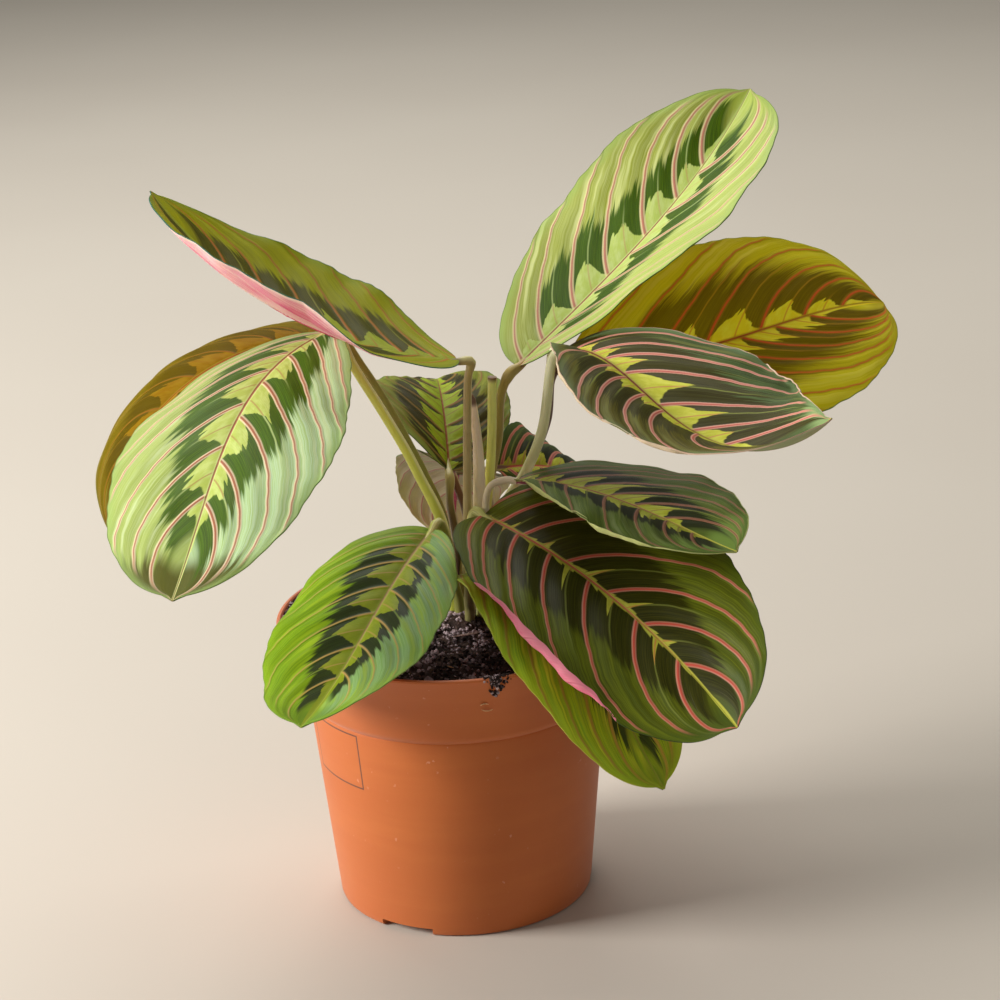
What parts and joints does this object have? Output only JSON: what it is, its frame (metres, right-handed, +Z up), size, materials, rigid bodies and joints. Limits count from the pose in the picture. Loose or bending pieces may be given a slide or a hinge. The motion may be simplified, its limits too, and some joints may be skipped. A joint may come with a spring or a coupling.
{
  "type": "potted prayer plant",
  "caption": "Prayer plant with broad oval red-ribbed leaves on slender stalks, growing in compost in a tapered terracotta-coloured plastic nursery pot.",
  "frame": {"origin": "centre of the pot's underside, on the surface that the pot stands on", "axes": "+Z up along the pot's axis, -Y towards the side that the plant is seen from, +X to the viewer's right"},
  "size_m": [0.2862, 0.2077, 0.2565],
  "materials": {
    "pot_plastic": "smooth terracotta-coloured moulded plastic with a soft sheen",
    "compost": "coarse dark potting compost, moist, with brown crumbs",
    "rootstock": "fleshy crown and roots, matt",
    "leaf_pale": "thin satin leaf, pale green with dark green blotches, red ribs and a lime feathered middle",
    "leaf_olive": "thin satin leaf with light through it, olive yellow with orange ribs",
    "leaf_dark": "thin satin leaf, dark green with salmon pink ribs and a lime feathered middle",
    "leaf_bright": "thin satin leaf, bright green with dark green blotches and red-brown ribs",
    "stalk_green": "fleshy stalk, yellow green, smooth and slightly ribbed",
    "stalk_pale": "fleshy stalk, pale grey green to pink brown",
    "stalk_purple": "fleshy stalk, dark purple brown",
    "rolled_leaf": "young rolled leaf in its sheath, beige pink to yellow green"
  },
  "bodies": {
    "root": {"pot": "pot_plastic", "compost": "compost", "rootstock": "rootstock", "leaf_upright_right": "leaf_pale", "stalk_upright_right": "stalk_green", "leaf_back_right": "leaf_olive", "stalk_back_right": "stalk_purple", "leaf_arched_right": "leaf_dark", "stalk_arched_right": "stalk_pale", "leaf_side_right": "leaf_dark", "stalk_side_right": "stalk_pale", "leaf_front_right": "leaf_dark", "stalk_front_right": "stalk_pale", "leaf_front_low": "leaf_bright", "stalk_front_low": "stalk_pale", "leaf_front_left": "leaf_bright", "stalk_front_left": "stalk_green", "leaf_hanging_left": "leaf_pale", "stalk_hanging_left": "stalk_green", "leaf_behind_left": "leaf_olive", "stalk_behind_left": "stalk_green", "leaf_folded_left": "leaf_bright", "stalk_folded_left": "stalk_pale", "leaf_back_centre": "leaf_bright", "stalk_back_centre": "stalk_purple", "leaf_back_drooping": "leaf_pale", "stalk_back_drooping": "stalk_purple", "leaf_back_dark": "leaf_dark", "stalk_back_dark": "stalk_purple", "cut_stalk": "stalk_green", "rolled_leaf": "rolled_leaf"}
  },
  "joints": []
}
